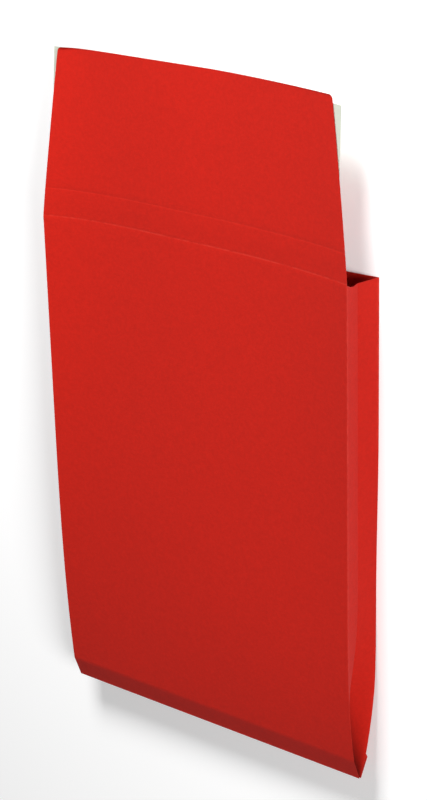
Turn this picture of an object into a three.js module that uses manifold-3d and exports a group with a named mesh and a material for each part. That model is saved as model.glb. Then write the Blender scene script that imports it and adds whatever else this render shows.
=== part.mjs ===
// A gusseted pocket envelope of C4 size, lying on its back with the flap open: one folded
// and glued sheet of red paper, the band of self-seal adhesive under its flap, and the
// release liner that covers the adhesive until the envelope is closed.
// Millimetres. X runs across the face, Y from the bottom seam to the flap, and Z is up.
// The origin is on the resting face of the back panel, halfway along the pocket.
import * as THREE from "three";
import { mergeVertices } from "three/addons/utils/BufferGeometryUtils.js";
import Module from "manifold-3d";

// Sheet and pocket
const paper = 0.25;
const width = 229;
const pocketLength = 324;
const gussetWidth = 32; // both half panels of one side
const pleatDepth = 3.8; // how far in the centre crease of an opened gusset still lies

// Bottom seam: the face folds round it onto the back, and both fan out from it
const seamHeight = 18.6;
const seamDraw = 2; // the pinch draws the seam in from the flat length
const seamLayers = 5;
const seamGlue = 4; // all layers are stuck together this far up
const hemLength = 14.5;
const hemOverhang = 1.2; // the hem's free corners stick out a little past the folds
const hemCorner = 1.5;
const frontKneeRise = 6.2;
const backKneeDrop = 6.1;
const frontEaseLeft = 190; // from the knee to where the left front fold runs level
const frontEaseRight = 108;
const backEase = 122; // from the knee to where the back lies on the table
const backDraw = 1.5; // the back folds are drawn in, most a little over a third of the way up
const backDrawStart = 55;
const backDrawEnd = 235;
const backDrawPower = 0.7;

// The face sags between its folds, most at the mouth, and the back bows in there
const faceSag = 10.2;
const sagCentre = -9.5;
const sagPowerLeft = 3.8;
const sagPowerRight = 2.8;
const backBow = 3.8;
const bowReach = 90;
const bowPower = 3.1;

// Glued seam down the middle of the back
const overlapWidth = 18;
const overlapEase = 25;
const edgeSlope = 0.05; // run of the faces that stand for a cut paper edge

// Throat: back and gussets end below the flap's crease, with a rounded corner
const throatDrop = 3.8;
const throatMargin = 6; // the last straight section lies this far below it
const throatCurve = 12.5; // how far down the gusset the throat's rounded corner reaches
const throatRest = 1.6; // the corner ends at least this far above the pleat

// Flap
const flapHeight = 105;
const flapInset = 13.9; // how far each side tapers in at the top
const flapTaperPower = 1.1;
const flapCorner = 2.5;
const flapDroop = 3.7;
const flapTopSag = 8;
const flapTopCentre = 10.5;
const flapTopPower = 1.8;
const flapCurl = 0.5; // the upper left corner curls up more sharply
const flapCurlPower = 14;
const scoreGap = 18; // from the flap's crease to the second score
const scoreWidth = 1;
const scoreDepth = 0.08;

// Adhesive band and release liner, laid under the flap
const layClearance = 0.2;
const adhesiveThickness = 0.15;
const adhesiveWidth = 172;
const adhesiveHeight = 26;
const linerThickness = 0.1;
const linerWidth = 214;
const linerHeight = 43;
const linerTopGap = 3; // from the flap's top edge to the liner's, in the middle
const linerSkew = 1.05; // degrees by which it was laid askew, its left end up
const linerCurl = 0.07; // it stays flatter than the flap's curled corner

// How finely the sheet is divided
const faceColumns = 20;
const backColumns = 8;
const throatSteps = 4;
const cornerSteps = 3;
const hemRows = 2;
const easeRows = 9;
const levelRows = 6;
const flapRows = 5;
const linerRows = 4;

const halfWidth = width / 2;
const panel = gussetWidth / 2;
const openHeight = 2 * Math.sqrt(panel ** 2 - pleatDepth ** 2);
const seamStack = seamLayers * paper;
const kneeAlong = seamDraw + hemLength;
const throatAlong = pocketLength - throatDrop;
const flapTop = pocketLength + flapHeight;

const clamp = THREE.MathUtils.clamp;
const lerp = THREE.MathUtils.lerp;

// "Along" is the distance from the flat bottom edge towards the flap
const point = (x, along, z) => new THREE.Vector3(x, along - pocketLength / 2, z);

// Height of a fold line: straight through the hem, a bend at the knee, then easing level
function foldHeight(along, atSeam, atKnee, level, ease) {
  if (along < kneeAlong) {
    return lerp(atSeam, atKnee, (along - seamDraw) / hemLength);
  }
  const rest = clamp(1 - (along - kneeAlong) / ease, 0, 1);
  return lerp(level, atKnee, rest ** 3);
}

function frontFold(along, x) {
  const ease = lerp(frontEaseLeft, frontEaseRight, x / width + 0.5);
  const atSeam = seamHeight + seamStack / 2;
  return foldHeight(along, atSeam, seamHeight + frontKneeRise, openHeight, ease);
}

function backFold(along) {
  return foldHeight(along, seamHeight - seamStack / 2, seamHeight - backKneeDrop, 0, backEase);
}

// Half the back's width, which narrows a little where its folds are drawn in
function backReach(along) {
  const share = clamp((along - backDrawStart) / (backDrawEnd - backDrawStart), 0, 1);
  return halfWidth - backDraw * Math.sin(Math.PI * share ** backDrawPower) ** 2;
}

// Sag across the sheet, 1 at the sag's centre and 0 at the sides; across runs from -1 to 1
function sagShape(across, centre, powerLeft, powerRight) {
  const off = across - centre;
  const reach = off < 0 ? 1 + centre : 1 - centre;
  const power = off < 0 ? powerLeft : powerRight;
  return 1 - Math.abs(off / reach) ** power;
}

const creaseSag = (across) =>
  sagShape(across, sagCentre / halfWidth, sagPowerLeft, sagPowerRight);

function faceHeight(x, along) {
  const grown = clamp((along - seamDraw) / (pocketLength - seamDraw), 0, 1);
  return frontFold(along, x) - faceSag * grown * creaseSag(x / halfWidth);
}

function backHeight(x, along) {
  const grown = clamp(1 - (throatAlong - along) / bowReach, 0, 1);
  const bow = backBow * grown ** 2 * (1 - Math.abs(x / halfWidth) ** bowPower);
  const pastEdge = (x - overlapWidth / 2 - edgeSlope) / overlapEase;
  const step = x > overlapWidth / 2 ? paper * clamp(1 - Math.max(pastEdge, 0), 0, 1) : 0;
  return backFold(along) + bow + step;
}

// The back is two layers thick where its halves overlap
function backThickness(x) {
  return Math.abs(x) <= overlapWidth / 2 ? 2 * paper : paper;
}

// Where two lines in a section cross, each given by a point and a direction
function meet(a, alongA, b, alongB) {
  const t = b.clone().sub(a).cross(alongB) / alongA.cross(alongB);
  return a.clone().addScaledVector(alongA, t);
}

// The gusset on one side of a section (side is 1 or -1), set in by the sheet's thickness
function gussetCorners(side, along, inset) {
  const front = new THREE.Vector2(halfWidth, frontFold(along, side * halfWidth));
  const back = new THREE.Vector2(backReach(along), backFold(along));
  const pleat = Math.sqrt(panel ** 2 - (front.y - back.y) ** 2 / 4);
  const tip = new THREE.Vector2(halfWidth - pleat, (front.y + back.y) / 2);
  const upper = tip.clone().sub(front);
  const lower = back.clone().sub(tip);
  if (inset > 0) {
    const upperIn = new THREE.Vector2(upper.y, -upper.x).setLength(inset);
    const lowerIn = new THREE.Vector2(lower.y, -lower.x).setLength(inset);
    const upperStart = front.clone().add(upperIn);
    const lowerStart = back.clone().add(lowerIn);
    const faceRun = new THREE.Vector2(1, front.y - faceHeight(side * (front.x - 1), along));
    const backRun = new THREE.Vector2(1, back.y - backHeight(side * (back.x - 1), along));
    tip.copy(meet(upperStart, upper, lowerStart, lower));
    front.copy(meet(new THREE.Vector2(halfWidth, front.y - inset), faceRun, upperStart, upper));
    back.copy(meet(new THREE.Vector2(back.x, back.y + inset), backRun, lowerStart, lower));
  }
  return [front, tip, back].map((p) => new THREE.Vector2(side * p.x, p.y));
}

// Columns of a gusset from its front fold to its back fold: how far down the upper half
// panel each lies, and how far its end rises in the throat's rounded corner
const gussetColumns = [];
const curveShare = Math.min(throatCurve, panel - throatRest) / panel;
for (let k = 0; k <= throatSteps; k++) {
  const down = k / throatSteps;
  gussetColumns.push({ share: down * curveShare, rise: throatDrop * (1 - down) ** 2 });
}
gussetColumns.push({ share: 1, rise: 0 }, { share: 2, rise: 0 });

const backStops = [];
for (let k = 0; k <= backColumns; k++) {
  backStops.push(lerp(halfWidth, -halfWidth, k / backColumns));
}
for (const edge of [overlapWidth / 2, -overlapWidth / 2]) {
  backStops.push(edge, edge + edgeSlope * Math.sign(edge));
}
backStops.push(overlapWidth / 2 + edgeSlope + overlapEase);
backStops.sort((a, b) => b - a);

// Closer columns near the folds, where the sag bends most
const faceShare = (k) => (1 - Math.cos((Math.PI * k) / faceColumns)) / 2;

// One turn round the pocket at one station: face, right gusset, back, left gusset.
// At the mouth each column ends at its own height in the throat.
function ring(along, inset, atMouth) {
  const girth = [];
  const end = (rise) => (atMouth ? throatAlong + rise : along);
  const [left, right] = [-1, 1].map((side) => gussetCorners(side, along, inset));
  for (let k = 0; k <= faceColumns; k++) {
    const x = lerp(left[0].x, right[0].x, faceShare(k));
    girth.push(point(x, end(throatDrop), faceHeight(x, along) - inset));
  }
  girth[0].z = left[0].y;
  girth[faceColumns].z = right[0].y;
  const side = (corners) =>
    gussetColumns.slice(1).map(({ share, rise }) => {
      const from = share > 1 ? corners[1] : corners[0];
      const to = share > 1 ? corners[2] : corners[1];
      const at = from.clone().lerp(to, share > 1 ? share - 1 : share);
      return point(at.x, end(rise), at.y);
    });
  girth.push(...side(right));
  for (const stop of backStops.slice(1, -1)) {
    const x = stop * (right[2].x / halfWidth);
    const lift = inset > 0 ? backThickness(stop) : 0;
    girth.push(point(x, end(0), backHeight(stop, along) + lift));
  }
  girth.push(...side(left).reverse());
  return girth;
}

const stations = [];
for (let k = 0; k <= hemRows; k++) {
  stations.push(lerp(seamDraw, kneeAlong, k / hemRows));
}
for (let k = 1; k <= easeRows; k++) {
  stations.push(kneeAlong + backEase * (k / easeRows) ** 1.5);
}
const levelStart = kneeAlong + backEase;
for (let k = 1; k <= levelRows; k++) {
  stations.push(lerp(levelStart, throatAlong - throatMargin, k / levelRows));
}

const outer = stations.map((along) => ring(along, 0, false));
outer.push(ring(pocketLength, 0, true));
const inner = stations.slice(1).map((along) => ring(along, paper, false));
inner.unshift(ring(seamDraw + seamGlue, paper, false));
inner.push(ring(pocketLength, paper, true));

// Half the flap's width, with its tapered sides and rounded top corners
function flapReach(along) {
  const up = along - pocketLength;
  const taper = flapInset * (up / flapHeight) ** flapTaperPower;
  const intoCorner = clamp(up - (flapHeight - flapCorner), 0, flapCorner);
  return halfWidth - taper - flapCorner + Math.sqrt(flapCorner ** 2 - intoCorner ** 2);
}

// Height of the flap's upper face; across runs from -1 to 1 between its sides
function flapFace(across, along, curl = flapCurl) {
  const up = clamp((along - pocketLength) / flapHeight, 0, 1);
  const atCrease = openHeight - faceSag * creaseSag(across);
  const centre = flapTopCentre / halfWidth;
  const off = Math.abs((across - centre) / (across < centre ? 1 + centre : 1 - centre));
  const curled = off / 2 + curl * off ** flapCurlPower;
  const rise = across < centre ? curled : off ** flapTopPower;
  const atTop = openHeight - faceSag - flapDroop + flapTopSag * rise;
  return lerp(atCrease, atTop, up);
}

const flapStops = [];
for (const score of [scoreWidth / 2, scoreGap]) {
  flapStops.push([score - scoreWidth / 2, 0], [score, scoreDepth], [score + scoreWidth / 2, 0]);
}
for (let k = 1; k <= flapRows; k++) {
  flapStops.push([lerp(scoreGap, flapHeight - flapCorner, k / flapRows), 0]);
}
for (let k = 1; k <= cornerSteps; k++) {
  const turn = (Math.PI / 2) * (k / cornerSteps);
  flapStops.push([flapHeight - flapCorner * (1 - Math.sin(turn)), 0]);
}

function flapRow([up, groove], lower) {
  const along = pocketLength + up;
  const reach = flapReach(along);
  const row = [];
  for (let k = 0; k <= faceColumns; k++) {
    const across = 2 * faceShare(k) - 1;
    row.push(point(reach * across, along, flapFace(across, along) - groove - lower));
  }
  return row;
}

// Triangles of one closed body, gathered from strips between rows of points
function shell(build) {
  const corners = [];
  const triangle = (a, b, c) => corners.push(...a, ...b, ...c);
  const strip = (rowA, rowB, loop) => {
    const count = rowA.length;
    for (let k = 0; k < (loop ? count : count - 1); k++) {
      const next = (k + 1) % count;
      triangle(rowA[k], rowA[next], rowB[next]);
      triangle(rowA[k], rowB[next], rowB[k]);
    }
  };
  const skin = (rows, loop) => {
    for (let i = 0; i + 1 < rows.length; i++) {
      strip(rows[i], rows[i + 1], loop);
    }
  };
  const fan = (row, centre) => {
    row.forEach((p, k) => triangle(centre, p, row[(k + 1) % row.length]));
  };
  build({ strip, skin, fan });
  const geometry = new THREE.BufferGeometry();
  geometry.setAttribute("position", new THREE.Float32BufferAttribute(corners, 3));
  return mergeVertices(geometry, 1e-4);
}

const backwards = (row) => [...row].reverse();
const column = (rows, k) => rows.map((row) => row.at(k));

// The middle of a closed end of the pocket, level with the pleats' tips
function endCentre(row) {
  const tip = row[faceColumns + gussetColumns.length - 2];
  return new THREE.Vector3(0, tip.y, tip.z);
}

const mouthOuter = outer.at(-1);
const mouthInner = inner.at(-1);
const flapOver = flapStops.slice(1).map((stop) => flapRow(stop, 0));
const flapUnder = flapStops.slice(1).map((stop) => flapRow(stop, paper));
flapOver.unshift(mouthOuter.slice(0, faceColumns + 1));
flapUnder.unshift(mouthInner.slice(0, faceColumns + 1));

const sheetGeometry = shell(({ strip, skin, fan }) => {
  skin(outer, true);
  skin(inner.map(backwards), true);
  fan(backwards(outer[0]), endCentre(outer[0]));
  fan(inner[0], endCentre(inner[0]));
  skin(flapOver, false);
  skin(flapUnder.map(backwards), false);
  strip(flapOver.at(-1), flapUnder.at(-1), false);
  strip(backwards(column(flapOver, -1)), backwards(column(flapUnder, -1)), false);
  strip(column(flapOver, 0), column(flapUnder, 0), false);
  const throat = (row) => [...row.slice(faceColumns), row[0]];
  strip(throat(mouthOuter), throat(mouthInner), false);
});

// Joins with manifold-3d
const wasm = await Module();
wasm.setup();

function solid(geometry) {
  const bare = geometry.clone();
  bare.deleteAttribute("normal");
  bare.deleteAttribute("uv");
  const merged = mergeVertices(bare, 1e-4);
  return new wasm.Manifold(
    new wasm.Mesh({
      numProp: 3,
      vertProperties: merged.getAttribute("position").array,
      triVerts: new Uint32Array(merged.index.array),
    }),
  );
}

function geometryOf(manifold) {
  const { vertProperties, triVerts } = manifold.getMesh();
  const geometry = new THREE.BufferGeometry();
  geometry.setAttribute("position", new THREE.Float32BufferAttribute(vertProperties, 3));
  geometry.setIndex(new THREE.Uint32BufferAttribute(triVerts, 1));
  return geometry;
}

// The bottom hem: the end of the face's sheet, folded round the seam and glued to the back
const hemDrop = backFold(seamDraw) - backFold(kneeAlong);
const hemRun = Math.hypot(hemLength, hemDrop);
const hemReach = halfWidth + hemOverhang;
const hemShape = new THREE.Shape([
  new THREE.Vector2(-halfWidth, 0),
  new THREE.Vector2(halfWidth, 0),
  new THREE.Vector2(hemReach, hemRun - hemCorner),
  new THREE.Vector2(hemReach - hemCorner, hemRun),
  new THREE.Vector2(hemCorner - hemReach, hemRun),
  new THREE.Vector2(-hemReach, hemRun - hemCorner),
]);
const hemGeometry = new THREE.ExtrudeGeometry(hemShape, {
  depth: 1.5 * paper, // half a sheet of it lies inside the back, which it is glued to
  bevelEnabled: false,
});
hemGeometry.translate(0, 0, -paper);
hemGeometry.rotateX(-Math.atan2(hemDrop, hemLength));
const hemStart = point(0, seamDraw, backFold(seamDraw));
hemGeometry.translate(hemStart.x, hemStart.y, hemStart.z);

// A thin strip laid askew under the flap, following its curve; drop is how far it lies below
// the flap's upper face
function stripUnderFlap({ stripWidth, stripHeight, thickness, drop, curl }) {
  const skew = THREE.MathUtils.degToRad(-linerSkew);
  const stripCentre = new THREE.Vector2();
  const rows = (lower) => {
    const made = [];
    for (let i = 0; i <= linerRows; i++) {
      const row = [];
      for (let k = 0; k <= faceColumns; k++) {
        const side = stripWidth * (faceShare(k) - 0.5);
        const up = stripHeight * (i / linerRows - 0.5);
        const spot = new THREE.Vector2(side, up).rotateAround(stripCentre, skew);
        const along = linerMiddle + spot.y;
        const across = spot.x / flapReach(Math.min(along, flapTop - flapCorner));
        row.push(point(spot.x, along, flapFace(across, along, curl) - drop - lower));
      }
      made.push(row);
    }
    return made;
  };
  const over = rows(0);
  const under = rows(thickness);
  return shell(({ strip, skin }) => {
    skin(over, false);
    skin(under.map(backwards), false);
    strip(over.at(-1), under.at(-1), false);
    strip(backwards(over[0]), backwards(under[0]), false);
    strip(backwards(column(over, -1)), backwards(column(under, -1)), false);
    strip(column(over, 0), column(under, 0), false);
  });
}

const linerMiddle = flapTop - linerTopGap - linerHeight / 2;
const adhesiveDrop = paper + layClearance;
const linerDrop = adhesiveDrop + adhesiveThickness + layClearance;

const envelope = new THREE.Group();
envelope.name = "gusseted_envelope";

function addPiece(name, geometry, material) {
  geometry.computeVertexNormals();
  const mesh = new THREE.Mesh(geometry, new THREE.MeshStandardMaterial(material));
  mesh.name = name;
  envelope.add(mesh);
}

addPiece("envelope_sheet", geometryOf(solid(sheetGeometry).add(solid(hemGeometry))), {
  color: 0xc8241e,
  roughness: 0.85,
  metalness: 0,
});
const adhesive = stripUnderFlap({
  stripWidth: adhesiveWidth,
  stripHeight: adhesiveHeight,
  thickness: adhesiveThickness,
  drop: adhesiveDrop,
  curl: flapCurl,
});
addPiece("seal_adhesive", adhesive, { color: 0xe9e2cf, roughness: 0.5, metalness: 0 });

const liner = stripUnderFlap({
  stripWidth: linerWidth,
  stripHeight: linerHeight,
  thickness: linerThickness,
  drop: linerDrop,
  curl: linerCurl,
});
addPiece("release_liner", liner, { color: 0xc8cdc0, roughness: 0.6, metalness: 0 });

export default envelope;
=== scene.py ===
import math

import bpy
from mathutils import Matrix, Vector, noise


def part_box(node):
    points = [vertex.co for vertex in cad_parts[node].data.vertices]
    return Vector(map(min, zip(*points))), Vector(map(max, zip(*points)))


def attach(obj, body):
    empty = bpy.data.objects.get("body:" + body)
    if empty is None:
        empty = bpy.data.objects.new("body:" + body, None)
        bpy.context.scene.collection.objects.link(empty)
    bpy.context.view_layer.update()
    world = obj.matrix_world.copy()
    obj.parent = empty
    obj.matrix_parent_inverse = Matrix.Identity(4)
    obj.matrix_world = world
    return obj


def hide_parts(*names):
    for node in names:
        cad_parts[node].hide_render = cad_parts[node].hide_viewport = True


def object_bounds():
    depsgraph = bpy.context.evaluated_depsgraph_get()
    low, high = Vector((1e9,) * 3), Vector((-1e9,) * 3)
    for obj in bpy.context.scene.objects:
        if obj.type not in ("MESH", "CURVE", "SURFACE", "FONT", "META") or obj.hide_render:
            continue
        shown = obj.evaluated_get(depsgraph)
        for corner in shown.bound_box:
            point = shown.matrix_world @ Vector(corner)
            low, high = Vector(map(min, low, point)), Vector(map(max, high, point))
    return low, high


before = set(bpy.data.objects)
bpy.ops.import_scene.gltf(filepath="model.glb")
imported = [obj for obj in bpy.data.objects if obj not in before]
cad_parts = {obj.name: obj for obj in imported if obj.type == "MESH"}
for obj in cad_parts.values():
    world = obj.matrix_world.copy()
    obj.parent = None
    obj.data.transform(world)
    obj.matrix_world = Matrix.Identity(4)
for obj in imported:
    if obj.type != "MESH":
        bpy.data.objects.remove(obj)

cad_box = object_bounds()

# Camera
# The envelope lies on its back and is seen from above its right side, a little past the flap,
# through a long lens turned so that the flap points up in the picture.
camera_place = Vector((0.8518, 0.5956, 1.0431))
camera_aim = Vector((-0.0109, 0.0042, 0.0))
picture_up = Vector((-0.2340, 0.9160, -0.3258))
studio_lens = bpy.data.cameras.new("studio_camera")
studio_lens.lens = 106.96
studio_lens.sensor_width = 36.0
studio_lens.shift_y = 0.094
studio_lens.clip_start = 0.05
studio_lens.clip_end = 20.0
camera = bpy.data.objects.new("studio_camera", studio_lens)
bpy.context.collection.objects.link(camera)
looking = (camera_aim - camera_place).normalized()
picture_right = looking.cross(picture_up).normalized()
turned = Matrix((picture_right, picture_right.cross(looking), -looking)).transposed()
camera.matrix_world = Matrix.Translation(camera_place) @ turned.to_4x4()
bpy.context.scene.camera = camera


# Envelope sheet
# One sheet of 180 g/m2 paper, dyed red right through, is cut, scored, folded round into a pocket
# with pleated sides, and glued down the back and along the bottom hem.
# Sizes are in millimetres, and "along" runs from the pocket's flat bottom edge to the flap.
sheet_high = Vector(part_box("envelope_sheet")[1]) * 1000
hem_overhang = 1.2  # the hem's free corners stick out past the folds
half_width = sheet_high.x - hem_overhang
pocket_length = 324.0
paper = 0.25
panel = 16.0  # one half panel of a gusset
open_height = sheet_high.z
seam_height = 18.6
seam_draw = 2.0  # the pinched seam is drawn in from the flat length
seam_stack = 5 * paper
seam_glue = 4.0
hem_length = 14.5
hem_corner = 1.5
front_knee = seam_height + 6.2
back_knee = seam_height - 6.1
knee_along = seam_draw + hem_length
front_ease_left = 190.0
front_ease_right = 108.0
back_ease = 122.0
back_draw = 1.5
back_draw_start = 55.0
back_draw_end = 235.0
back_draw_power = 0.7
face_sag = 10.2
sag_centre = -9.5 / half_width
sag_power_left = 3.8
sag_power_right = 2.8
back_bow = 3.8
bow_reach = 90.0
bow_power = 3.1
overlap = 18.0
overlap_ease = 25.0
edge_slope = 0.05
throat_drop = 3.8
throat_curve = 12.5
throat_along = pocket_length - throat_drop
ripple_height = 0.22
ripple_fade = 30.0  # loose this far from a fold, and held still at it
broad_ripple = (45.0, 80.0, 1.7)  # lengths across and along, and a layer of the noise
fine_ripple = (16.0, 26.0, 5.2)
fine_share = 0.3
ripple_growth = 8  # the ripple is full an eighth of the way up from the seam


def clamp(value, low=0.0, high=1.0):
    return max(low, min(high, value))


def lerp(a, b, share):
    return a + (b - a) * share


def place(x, along, z):
    """A point of the envelope in metres, from millimetres across, along and up."""
    return Vector((x, along - pocket_length / 2, z)) / 1000


def fold_height(along, at_seam, at_knee, level, ease):
    """Height of a fold line: straight up the hem, a bend at its knee, then easing level."""
    if along < knee_along:
        return lerp(at_seam, at_knee, (along - seam_draw) / hem_length)
    return lerp(level, at_knee, clamp(1 - (along - knee_along) / ease) ** 3)


def front_fold(along, x):
    ease = lerp(front_ease_left, front_ease_right, x / half_width / 2 + 0.5)
    return fold_height(along, seam_height + seam_stack / 2, front_knee, open_height, ease)


def back_fold(along):
    return fold_height(along, seam_height - seam_stack / 2, back_knee, 0.0, back_ease)


def back_reach(along):
    """Half the back's width, which narrows a little where its folds are drawn in."""
    share = clamp((along - back_draw_start) / (back_draw_end - back_draw_start))
    return half_width - back_draw * math.sin(math.pi * share ** back_draw_power) ** 2


def crease_sag(across):
    """The sag across the face at the flap's crease, 1 at its deepest and 0 at the folds."""
    off = across - sag_centre
    reach = 1 + sag_centre if off < 0 else 1 - sag_centre
    return 1 - abs(off / reach) ** (sag_power_left if off < 0 else sag_power_right)


def ripple(x, along):
    """Slight unevenness of loose paper, none at the folds."""
    free = clamp((half_width - abs(x)) / ripple_fade)
    broad, fine = (noise.noise(Vector((x / across, along / length, layer)))
                   for across, length, layer in (broad_ripple, fine_ripple))
    return ripple_height * free * (broad + fine_share * fine)


def face_height(x, along):
    grown = clamp((along - seam_draw) / (pocket_length - seam_draw))
    lift = clamp(grown * ripple_growth) * ripple(x, along)
    return front_fold(along, x) - face_sag * grown * crease_sag(x / half_width) + lift


def back_height(x, along):
    grown = clamp(1 - (throat_along - along) / bow_reach)
    bow = back_bow * grown ** 2 * (1 - abs(x / half_width) ** bow_power)
    past_edge = clamp((x - overlap / 2 - edge_slope) / overlap_ease)
    step = paper * (1 - past_edge) if x > overlap / 2 else 0.0
    return back_fold(along) + bow + step


def meet(a, along_a, b, along_b):
    """Where two lines of a section cross, each given by a point and a direction."""
    return a + along_a * ((b - a).cross(along_b) / along_a.cross(along_b))


def gusset_corners(side, along, inset):
    """Front fold, pleat tip and back fold of one gusset, set in by the sheet's thickness."""
    front = Vector((half_width, front_fold(along, side * half_width)))
    back = Vector((back_reach(along), back_fold(along)))
    pleat = math.sqrt(panel ** 2 - (front.y - back.y) ** 2 / 4)
    tip = Vector((half_width - pleat, (front.y + back.y) / 2))
    if inset:
        upper = tip - front
        lower = back - tip
        upper_start = front + Vector((upper.y, -upper.x)).normalized() * inset
        lower_start = back + Vector((lower.y, -lower.x)).normalized() * inset
        face_run = Vector((1, front.y - face_height(side * (front.x - 1), along)))
        back_run = Vector((1, back.y - back_height(side * (back.x - 1), along)))
        tip = meet(upper_start, upper, lower_start, lower)
        front = meet(Vector((half_width, front.y - inset)), face_run, upper_start, upper)
        back = meet(Vector((back.x, back.y + inset)), back_run, lower_start, lower)
    return [Vector((side * corner.x, corner.y)) for corner in (front, tip, back)]


def eased(count):
    """Shares from 0 to 1 that lie closer together at both ends, near the folds."""
    return [(1 - math.cos(math.pi * k / count)) / 2 for k in range(count + 1)]


def steps(count):
    """Equal shares up to 1, without the 0 that they start from."""
    return [k / count for k in range(1, count + 1)]


face_columns = 96
panel_columns = 10
back_columns = 56
face_shares = eased(face_columns)
panel_shares = eased(panel_columns)
back_stops = [lerp(half_width, -half_width, share) for share in eased(back_columns)]
for edge in (overlap / 2, -overlap / 2):
    back_stops += [edge, edge + math.copysign(edge_slope, edge)]
back_stops.sort(reverse=True)


def throat_end(down):
    """Where a gusset ends, at a distance down from the front fold: a rounded corner."""
    return throat_along + throat_drop * clamp(1 - down / throat_curve) ** 2


def ring(along, toward_mouth, inset):
    """One turn round the pocket: face, right gusset, back, left gusset. Each column runs on
    towards its own end at the mouth by the share toward_mouth."""
    girth = []
    for share in face_shares:
        at = lerp(along, pocket_length, toward_mouth)
        left, right = (gusset_corners(side, at, inset)[0] for side in (-1, 1))
        x = lerp(left.x, right.x, share)
        z = face_height(x, at) - inset
        z = left.y if share == 0 else right.y if share == 1 else z
        girth.append(place(x, at, z))
    turn = []
    for side in (1, -1):
        column = []
        for half in (0, 1):
            for share in panel_shares[1:]:
                at = lerp(along, throat_end((share + half) * panel), toward_mouth)
                corners = gusset_corners(side, at, inset)
                spot = corners[half].lerp(corners[half + 1], share)
                column.append(place(spot.x, at, spot.y))
        turn.append(column)
    girth += turn[0]
    at = lerp(along, throat_along, toward_mouth)
    inner_half = gusset_corners(1, at, inset)[2].x
    for stop in back_stops[1:-1]:
        layers = 2 if abs(stop) <= overlap / 2 else 1
        lift = inset * layers
        girth.append(place(stop * inner_half / half_width, at, back_height(stop, at) + lift))
    return girth + turn[1][::-1]


# Each row of points round the pocket is a place along it and its share of the way to the mouth.
hem_rows = 6
knee_rows = 40
knee_crowding = 1.3  # rows lie closer together where the folds bend most
level_rows = 16
mouth_rows = 8
mouth_start = throat_along - 1.3 * throat_curve  # clear of the cut at the gussets' ends
stations = [(seam_draw, 0)]
stations += [(lerp(seam_draw, knee_along, share), 0) for share in steps(hem_rows)]
stations += [(knee_along + front_ease_left * share ** knee_crowding, 0) for share in steps(knee_rows)]
level_start = stations[-1][0]
stations += [(lerp(level_start, mouth_start, share), 0) for share in steps(level_rows)]
stations += [(mouth_start, share) for share in steps(mouth_rows)]
glued_to = seam_draw + seam_glue
outer = [ring(along, toward, 0) for along, toward in stations]
inner = [ring(glued_to, 0, paper)]
inner += [ring(along, toward, paper) for along, toward in stations if along > glued_to]

# The flap, which goes on from the face past its crease: tapered, with rounded top corners and
# two pressed scores.
flap_height = sheet_high.y + pocket_length / 2 - pocket_length
flap_inset = 13.9
flap_taper_power = 1.1
flap_corner = 2.5
flap_droop = 3.7
flap_top_sag = 8.0
flap_top_centre = 10.5 / half_width
flap_top_power = 1.8
flap_curl = 0.5
curl_power = 14
score_gap = 18.0
score_width = 1.0
score_depth = 0.05
score_rows = 3  # on each side of a score's middle
band_rows = 8
flap_rows = 30
corner_rows = 6
band_end = score_gap - score_width
corner_start = flap_height - flap_corner


def flap_reach(up):
    """Half the flap's width at a height up from its crease."""
    into_corner = clamp(up - corner_start, 0, flap_corner)
    rounding = flap_corner - math.sqrt(flap_corner ** 2 - into_corner ** 2)
    return half_width - flap_inset * (up / flap_height) ** flap_taper_power - rounding


def flap_face(across, up, curl):
    """Height of the flap's upper face; across runs from -1 to 1 between its sides."""
    at_crease = open_height - face_sag * crease_sag(across)
    off = across - flap_top_centre
    off = abs(off / (1 + flap_top_centre if off < 0 else 1 - flap_top_centre))
    curled = off / 2 + curl * off ** curl_power
    rise = curled if across < flap_top_centre else off ** flap_top_power
    at_top = open_height - face_sag - flap_droop + flap_top_sag * rise
    return lerp(at_crease, at_top, clamp(up / flap_height))


def flap_row(up, groove, inset):
    reach = flap_reach(up)
    row = []
    for share in face_shares:
        across = 2 * share - 1
        x = reach * across
        z = flap_face(across, up, flap_curl) + ripple(x, pocket_length + up) - groove - inset
        row.append(place(x, pocket_length + up, z))
    return row


def score(middle):
    """Rows across one pressed score, as height up the flap and depth of the groove."""
    halves = [k / score_rows for k in range(-score_rows, score_rows + 1)]
    return [(middle + score_width / 2 * k, score_depth * math.cos(math.pi / 2 * k)) for k in halves]


flap_stops = score(score_width / 2)[1:]
flap_stops += [(lerp(score_width, band_end, share), 0) for share in steps(band_rows)]
flap_stops += score(score_gap)
flap_stops += [(lerp(score_gap + score_width, corner_start, share), 0) for share in steps(flap_rows)]
flap_stops += [(corner_start + flap_corner * math.sin(math.pi / 2 * share), 0)
               for share in steps(corner_rows)]

vertices = []
faces = []


def add_row(row):
    """Adds a row of points and gives the numbers of its vertices."""
    vertices.extend(row)
    return list(range(len(vertices) - len(row), len(vertices)))


def strip(row_a, row_b, loop=False):
    """Joins two rows with quads that face outwards."""
    for k in range(len(row_a) if loop else len(row_a) - 1):
        after = (k + 1) % len(row_a)
        faces.append((row_a[k], row_a[after], row_b[after], row_b[k]))


def skin(rows, loop=False):
    for row_a, row_b in zip(rows, rows[1:]):
        strip(row_a, row_b, loop)


def fan(row):
    """Closes the pinched end of the pocket about a point level with the pleats' tips."""
    tip = vertices[row[len(face_shares) + len(panel_shares) - 2]]
    middle = add_row([Vector((0, tip.y, tip.z))])[0]
    for k, number in enumerate(row):
        faces.append((middle, number, row[(k + 1) % len(row)]))


def sheet_of(over, under):
    """Closes a thin sheet between its upper and its lower rows of points."""
    over = [add_row(row) for row in over]
    under = [add_row(row) for row in under]
    skin(over)
    skin([row[::-1] for row in under])
    strip(over[-1], under[-1])
    strip(over[0][::-1], under[0][::-1])
    strip([row[-1] for row in over][::-1], [row[-1] for row in under][::-1])
    strip([row[0] for row in over], [row[0] for row in under])


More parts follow.
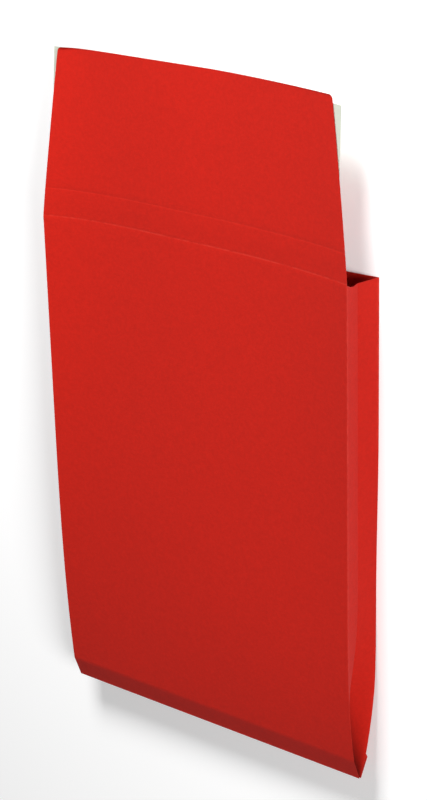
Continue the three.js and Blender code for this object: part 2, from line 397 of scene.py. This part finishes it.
def mesh_piece(name):
    """Makes an object from the gathered vertices and faces, and empties both lists."""
    mesh = bpy.data.meshes.new(name)
    mesh.from_pydata(vertices, [], faces)
    mesh.validate()
    mesh.shade_smooth()
    mesh.set_sharp_from_angle(angle=math.radians(28))
    piece = bpy.data.objects.new(name, mesh)
    bpy.context.collection.objects.link(piece)
    vertices.clear()
    faces.clear()
    return piece


outer_rows = [add_row(row) for row in outer]
inner_rows = [add_row(row) for row in inner]
last = len(face_shares)
over_rows = [outer_rows[-1][:last]]
over_rows += [add_row(flap_row(up, groove, 0)) for up, groove in flap_stops]
under_rows = [inner_rows[-1][:last]]
under_rows += [add_row(flap_row(up, groove, paper)) for up, groove in flap_stops]
skin(outer_rows, loop=True)
skin([row[::-1] for row in inner_rows], loop=True)
fan(outer_rows[0][::-1])
fan(inner_rows[0])
skin(over_rows)
skin([row[::-1] for row in under_rows])
strip(over_rows[-1], under_rows[-1])
strip([row[-1] for row in over_rows][::-1], [row[-1] for row in under_rows][::-1])
strip([row[0] for row in over_rows], [row[0] for row in under_rows])
mouth_rims = [rows[-1][last - 1:] + rows[-1][:1] for rows in (outer_rows, inner_rows)]
strip(*mouth_rims)

# The bottom hem: the end of the same sheet, folded round the seam and glued to the back. Its free
# corners have come a little away.
hem_slope = math.atan2(back_fold(seam_draw) - back_fold(knee_along), hem_length)
hem_run = hem_length / math.cos(hem_slope)
hem_stand_off = 0.3
hem_lift_power = 60  # high, so that only the corners lift
hem_slab_rows = 8
hem_square = hem_run - hem_corner
hem_flare = hem_overhang / hem_square
hem_stops = [0.0] + [share * hem_square for share in steps(hem_slab_rows)]
hem_stops += [hem_run - hem_corner / 2, hem_run]


def hem_row(up, depth):
    """Points across the hem at a distance up from the seam, and at a depth below the back."""
    into_corner = max(0, up - hem_square)
    reach = half_width + hem_flare * (up - into_corner) - into_corner
    row = []
    for share in face_shares:
        across = 2 * share - 1
        off = depth + hem_stand_off * abs(across) ** hem_lift_power * (up / hem_run) ** 2
        along = seam_draw + up * math.cos(hem_slope) - off * math.sin(hem_slope)
        z = back_fold(seam_draw) - up * math.sin(hem_slope) - off * math.cos(hem_slope)
        row.append(place(reach * across, along, z))
    return row


sheet_of([hem_row(up, 0.0) for up in hem_stops], [hem_row(up, paper) for up in hem_stops])
envelope = mesh_piece("envelope_paper")


def hex_colour(code):
    """An sRGB hex colour as linear values."""
    channels = [int(code[k:k + 2], 16) / 255 for k in (1, 3, 5)]
    linear = [c / 12.92 if c <= 0.04045 else ((c + 0.055) / 1.055) ** 2.4 for c in channels]
    return (*linear, 1.0)


def add_node(tree, kind, inputs, **settings):
    """Adds a shader node with its settings, fills or links its inputs by name or number, and
    gives its outputs. A colour mix has its factor at input 0, its colours at 6 and 7, and its
    result at output 2."""
    node = tree.nodes.new(kind)
    for name, value in settings.items():
        setattr(node, name, value)
    for key, value in inputs.items():
        if isinstance(value, bpy.types.NodeSocket):
            tree.links.new(value, node.inputs[key])
        else:
            node.inputs[key].default_value = value
    return node.outputs


def new_material(piece, name):
    """Lays a new material on a piece, and gives its tree, which has no nodes yet."""
    material = bpy.data.materials.new(name)
    material.use_nodes = True
    material.node_tree.nodes.clear()
    piece.data.materials.append(material)
    return material.node_tree


def line_mask(tree, coordinate, middle, reach, most):
    """A mask that is most along a line, and falls smoothly to 0 a reach to either side of it."""
    past = add_node(tree, "ShaderNodeMath", {0: coordinate, 1: middle / 1000}, operation="SUBTRACT")[0]
    off = add_node(tree, "ShaderNodeMath", {0: past}, operation="ABSOLUTE")[0]
    return add_node(tree, "ShaderNodeMapRange",
                    {"Value": off, "From Max": reach / 1000, "To Min": most, "To Max": 0.0},
                    interpolation_type="SMOOTHSTEP")[0]


def laid_fibres(tree, spot, turn, length, breadth):
    """Fibres that lie across a sheet at a turn: noise drawn out along one direction."""
    turned = add_node(tree, "ShaderNodeMapping", {"Vector": spot, "Rotation": (0, 0, turn)},
                      vector_type="TEXTURE")[0]
    scale = (1000 / length, 1000 / breadth, 1000 / breadth)
    drawn = add_node(tree, "ShaderNodeVectorMath", {0: turned, 1: scale}, operation="MULTIPLY")[0]
    return add_node(tree, "ShaderNodeTexNoise", {"Vector": drawn, "Scale": 1.0, "Detail": 2.0})["Fac"]


# Dyed wood-pulp paper, uncoated: faint clouds where the pulp lies thicker, short fibres, a dull
# surface with a fine tooth, and scuffed lines on the folds and scores where the dye has rubbed.
# Real fibres are about 0.03 mm broad and the tooth about 0.1 mm: both are coarser here, to show.
pulp_cloud_size = 5.0
mottle_size = 2.0
tooth_size = 0.7
scuff_size = 3.5
scuff_most = 0.24
score_scuff_most = 0.3  # the second score's share of the crease's rubbing
relief = 0.1
nook_size = 15.0
tree = new_material(envelope, "dyed_uncoated_paper")
spot = add_node(tree, "ShaderNodeTexCoord", {})["Object"]
spot_parts = add_node(tree, "ShaderNodeSeparateXYZ", {"Vector": spot})
cloud = add_node(tree, "ShaderNodeTexNoise",
                 {"Vector": spot, "Scale": 1000 / pulp_cloud_size, "Detail": 3.0})["Fac"]
pulp = add_node(tree, "ShaderNodeMix",
                {0: cloud, 6: hex_colour("#C0190A"), 7: hex_colour("#C81B0C")}, data_type="RGBA")[2]
long_fibre = laid_fibres(tree, spot, turn=0.4, length=2.4, breadth=0.22)
short_fibre = laid_fibres(tree, spot, turn=-1.0, length=2.0, breadth=0.2)
fibre = add_node(tree, "ShaderNodeMath", {0: long_fibre, 1: short_fibre}, operation="MAXIMUM")[0]
fibre = add_node(tree, "ShaderNodeMapRange", {"Value": fibre, "From Min": 0.56, "From Max": 0.74})[0]
fibre_tint = add_node(tree, "ShaderNodeMath", {0: fibre, 1: 0.35}, operation="MULTIPLY")[0]
fibred = add_node(tree, "ShaderNodeMix", {0: fibre_tint, 6: pulp, 7: hex_colour("#D42A1B")},
                  data_type="RGBA")[2]
mottle = add_node(tree, "ShaderNodeTexNoise",
                  {"Vector": spot, "Scale": 1000 / mottle_size, "Detail": 2.0})["Fac"]
mottle = add_node(tree, "ShaderNodeMapRange", {"Value": mottle, "From Min": 0.3, "From Max": 0.7})[0]
mottled = add_node(tree, "ShaderNodeMix", {0: 0.1, 6: fibred, 7: mottle},
                   data_type="RGBA", blend_type="MULTIPLY")[2]
tooth = add_node(tree, "ShaderNodeTexNoise",
                 {"Vector": spot, "Scale": 1000 / tooth_size, "Detail": 4.0})["Fac"]
speckled = add_node(tree, "ShaderNodeMix", {0: 0.22, 6: mottled, 7: tooth},
                    data_type="RGBA", blend_type="MULTIPLY")[2]

# Painted shade: the band just past the crease is a shade darker, standing for the shade of a shallow
# dip along the crease.
crease_at = pocket_length / 2 + score_width / 2
crease_band_shade_middle = crease_at + 6.0
crease_band_shade_reach = 8.5
crease_band_shade = line_mask(tree, spot_parts["Y"], crease_band_shade_middle, crease_band_shade_reach, 0.05)
shaded = add_node(tree, "ShaderNodeMix", {0: crease_band_shade, 6: speckled, 7: hex_colour("#897C7C")},
                  data_type="RGBA", blend_type="MULTIPLY")[2]

# Scuffs on the crease, the second score and the two side folds.
crease_reach = 0.8
fold_reach = 0.7
score_at = pocket_length / 2 + score_gap
across = add_node(tree, "ShaderNodeMath", {0: spot_parts["X"]}, operation="ABSOLUTE")[0]
crease_line = line_mask(tree, spot_parts["Y"], crease_at, crease_reach, 1.0)
score_line = line_mask(tree, spot_parts["Y"], score_at, fold_reach, score_scuff_most)
fold_line = line_mask(tree, across, half_width, fold_reach, 1.0)
lines = add_node(tree, "ShaderNodeMath", {0: crease_line, 1: score_line}, operation="ADD")[0]
lines = add_node(tree, "ShaderNodeMath", {0: lines, 1: fold_line}, operation="ADD")[0]
scuff = add_node(tree, "ShaderNodeTexNoise",
                 {"Vector": spot, "Scale": 1000 / scuff_size, "Detail": 3.0})["Fac"]
scuff = add_node(tree, "ShaderNodeMapRange",
                 {"Value": scuff, "From Min": 0.3, "From Max": 0.62, "To Max": scuff_most})[0]
worn = add_node(tree, "ShaderNodeMath", {0: lines, 1: scuff}, operation="MULTIPLY")[0]
worn = add_node(tree, "ShaderNodeMath", {0: worn, 1: scuff_most}, operation="MINIMUM")[0]
rubbed = add_node(tree, "ShaderNodeMix", {0: worn, 6: shaded, 7: hex_colour("#DE4A3C")},
                  data_type="RGBA")[2]

# Painted shade: deep between two layers, where little light gets in, the red is darkened by the
# occlusion there, as at the pinched ends of the pleats.
openness = add_node(tree, "ShaderNodeAmbientOcclusion", {"Distance": nook_size / 1000},
                    samples=8, only_local=True)["AO"]
openness = add_node(tree, "ShaderNodeMapRange",
                    {"Value": openness, "From Min": 0.15, "From Max": 0.8, "To Min": 0.25},
                    interpolation_type="SMOOTHSTEP")[0]
dyed_with_painted_nook_shade = add_node(tree, "ShaderNodeMix", {0: 1.0, 6: rubbed, 7: openness},
                data_type="RGBA", blend_type="MULTIPLY")[2]
rough = add_node(tree, "ShaderNodeMapRange", {"Value": tooth, "To Min": 0.78, "To Max": 0.95})[0]
raised = add_node(tree, "ShaderNodeMath", {0: fibre, 1: 0.6}, operation="MULTIPLY")[0]
raised = add_node(tree, "ShaderNodeMath", {0: tooth, 1: raised}, operation="ADD")[0]
bump = add_node(tree, "ShaderNodeBump",
                {"Height": raised, "Strength": 0.35, "Distance": relief / 1000})["Normal"]
# The sheen stands for loose surface fibres.
surface = add_node(tree, "ShaderNodeBsdfPrincipled", {
    "Base Color": dyed_with_painted_nook_shade, "Roughness": rough, "Normal": bump, "IOR": 1.45,
    "Specular IOR Level": 0.2, "Sheen Weight": 0.03, "Sheen Roughness": 0.5})["BSDF"]
add_node(tree, "ShaderNodeOutputMaterial", {"Surface": surface})
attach(envelope, "root")
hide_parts("envelope_sheet")

# Strips under the flap
# A coated adhesive band, and the release paper laid over it a little askew, so that its ends show
# past the flap's tapered sides.
lay_clearance = 0.2
adhesive_width = 172.0
adhesive_height = 26.0
adhesive_thickness = 0.15
liner_width = 214.0
liner_height = 43.0
liner_thickness = 0.1
liner_top_gap = 3.0
strip_middle = flap_height - liner_top_gap - liner_height / 2
strip_skew = math.radians(-1.05)
liner_curl = 0.07
adhesive_grid = (80, 12)  # columns and rows of its mesh
liner_grid = (100, 20)


def strip_rows(width, height, drop, curl, columns, rows):
    """Rows of points across a strip that hangs a drop below the flap's upper face."""
    made = []
    for i in range(rows + 1):
        row = []
        for k in range(columns + 1):
            side = width * (k / columns - 0.5)
            up = height * (i / rows - 0.5)
            x = side * math.cos(strip_skew) - up * math.sin(strip_skew)
            up = strip_middle + side * math.sin(strip_skew) + up * math.cos(strip_skew)
            across = x / flap_reach(min(up, corner_start))
            z = flap_face(across, up, curl) + ripple(x, pocket_length + up) - drop
            row.append(place(x, pocket_length + up, z))
        made.append(row)
    return made


adhesive_drop = paper + lay_clearance
adhesive_foot = adhesive_drop + adhesive_thickness
sheet_of(strip_rows(adhesive_width, adhesive_height, adhesive_drop, flap_curl, *adhesive_grid),
         strip_rows(adhesive_width, adhesive_height, adhesive_foot, flap_curl, *adhesive_grid))
adhesive = mesh_piece("adhesive_band")
liner_drop = adhesive_foot + lay_clearance
liner_foot = liner_drop + liner_thickness
sheet_of(strip_rows(liner_width, liner_height, liner_drop, liner_curl, *liner_grid),
         strip_rows(liner_width, liner_height, liner_foot, liner_curl, *liner_grid))
liner = mesh_piece("release_paper")

# Dried latex adhesive: a creamy film with fine lengthwise streaks from the coating wheel, 0.8 mm
# apart, and small bubbles that dull its shine.
bubble_size = 1.6
tree = new_material(adhesive, "seal_latex_film")
spot = add_node(tree, "ShaderNodeTexCoord", {})["Object"]
streak = laid_fibres(tree, spot, turn=0.0, length=40.0, breadth=0.8)
film = add_node(tree, "ShaderNodeMix",
                {0: streak, 6: hex_colour("#DED5BC"), 7: hex_colour("#EEE8D6")}, data_type="RGBA")[2]
bubble = add_node(tree, "ShaderNodeTexNoise",
                  {"Vector": spot, "Scale": 1000 / bubble_size, "Detail": 3.0})["Fac"]
rough = add_node(tree, "ShaderNodeMapRange", {"Value": bubble, "To Min": 0.35, "To Max": 0.65})[0]
raised = add_node(tree, "ShaderNodeMath", {0: bubble, 1: 0.4}, operation="MULTIPLY")[0]
raised = add_node(tree, "ShaderNodeMath", {0: streak, 1: raised}, operation="ADD")[0]
bump = add_node(tree, "ShaderNodeBump",
                {"Height": raised, "Strength": 0.4, "Distance": relief / 1000})["Normal"]
surface = add_node(tree, "ShaderNodeBsdfPrincipled", {
    "Base Color": film, "Roughness": rough, "Normal": bump, "IOR": 1.5})["BSDF"]
add_node(tree, "ShaderNodeOutputMaterial", {"Surface": surface})
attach(adhesive, "root")
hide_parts("seal_adhesive")

# Silicone-coated release paper: pale greenish grey, smooth, with pulp clouds under the coating and
# small scuffs in its satin. Its fibres are drawn 0.25 mm broad, coarser than real ones, to show.
liner_cloud_size = 4.0
tree = new_material(liner, "silicone_release_paper")
spot = add_node(tree, "ShaderNodeTexCoord", {})["Object"]
cloud = add_node(tree, "ShaderNodeTexNoise",
                 {"Vector": spot, "Scale": 1000 / liner_cloud_size, "Detail": 4.0})["Fac"]
pale = add_node(tree, "ShaderNodeMix",
                {0: cloud, 6: hex_colour("#C6CABB"), 7: hex_colour("#D0D4C6")}, data_type="RGBA")[2]
fibre = laid_fibres(tree, spot, turn=0.7, length=2.2, breadth=0.25)
pale = add_node(tree, "ShaderNodeMix", {0: 0.12, 6: pale, 7: fibre},
                data_type="RGBA", blend_type="MULTIPLY")[2]
rough = add_node(tree, "ShaderNodeMapRange", {"Value": cloud, "To Min": 0.38, "To Max": 0.6})[0]
bump = add_node(tree, "ShaderNodeBump",
                {"Height": fibre, "Strength": 0.2, "Distance": relief / 1000})["Normal"]
surface = add_node(tree, "ShaderNodeBsdfPrincipled", {
    "Base Color": pale, "Roughness": rough, "Normal": bump, "IOR": 1.45})["BSDF"]
add_node(tree, "ShaderNodeOutputMaterial", {"Surface": surface})
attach(liner, "root")
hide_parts("release_liner")

# Studio
# A pale table under the envelope, one soft box past the flap and one on the right, and even light
# from the room. The table is white to the camera and keeps the envelope's soft shadow.
table_size = 2.4
table_gap = 0.00005  # keeps the table's face apart from the back's
bpy.ops.mesh.primitive_plane_add(size=table_size, location=(0, 0, cad_box[0][2] - table_gap))
table = bpy.context.object
table.name = "table_top"
tree = new_material(table, "matt_white_table")
rays = add_node(tree, "ShaderNodeLightPath", {})
seen = add_node(tree, "ShaderNodeMath", {0: rays["Is Camera Ray"], 1: rays["Is Glossy Ray"]},
                operation="MAXIMUM")[0]
seen = add_node(tree, "ShaderNodeMath", {0: seen, 1: rays["Is Transmission Ray"]},
                operation="MAXIMUM")[0]
paint = add_node(tree, "ShaderNodeMix",
                 {0: seen, 6: hex_colour("#EEEEEE"), 7: hex_colour("#F4F4F4")}, data_type="RGBA")[2]
glow = add_node(tree, "ShaderNodeMath", {0: seen, 1: 0.16}, operation="MULTIPLY")[0]
surface = add_node(tree, "ShaderNodeBsdfPrincipled", {
    "Base Color": paint, "Roughness": 0.9,
    "Emission Color": hex_colour("#FFFFFF"), "Emission Strength": glow})["BSDF"]
add_node(tree, "ShaderNodeOutputMaterial", {"Surface": surface})

# The room lights the envelope weakly, and is as white as the table where the camera sees it.
room_strength = 0.1
world = bpy.data.worlds.new("studio_room")
world.use_nodes = True
tree = world.node_tree
tree.nodes.clear()
in_sight = add_node(tree, "ShaderNodeLightPath", {})["Is Camera Ray"]
strength = add_node(tree, "ShaderNodeMapRange", {"Value": in_sight, "To Min": room_strength})[0]
room = add_node(tree, "ShaderNodeBackground",
                {"Color": hex_colour("#FFFFFF"), "Strength": strength})["Background"]
add_node(tree, "ShaderNodeOutputWorld", {"Surface": room})
bpy.context.scene.world = world


def soft_lamp(name, location, size, watts):
    """A round soft box that faces the envelope."""
    lamp = bpy.data.lights.new(name, "AREA")
    lamp.shape = "DISK"
    lamp.size = size
    lamp.energy = watts
    holder = bpy.data.objects.new(name, lamp)
    bpy.context.collection.objects.link(holder)
    holder.location = location
    holder.rotation_euler = (-holder.location).to_track_quat("-Z", "Y").to_euler()


soft_lamp("lamp_past_flap", (0.05, 1.5, 0.84), 0.55, 36.0)
soft_lamp("lamp_on_right", (1.95, 0.25, 1.25), 0.9, 41.0)

bpy.context.scene.view_settings.view_transform = "Standard"
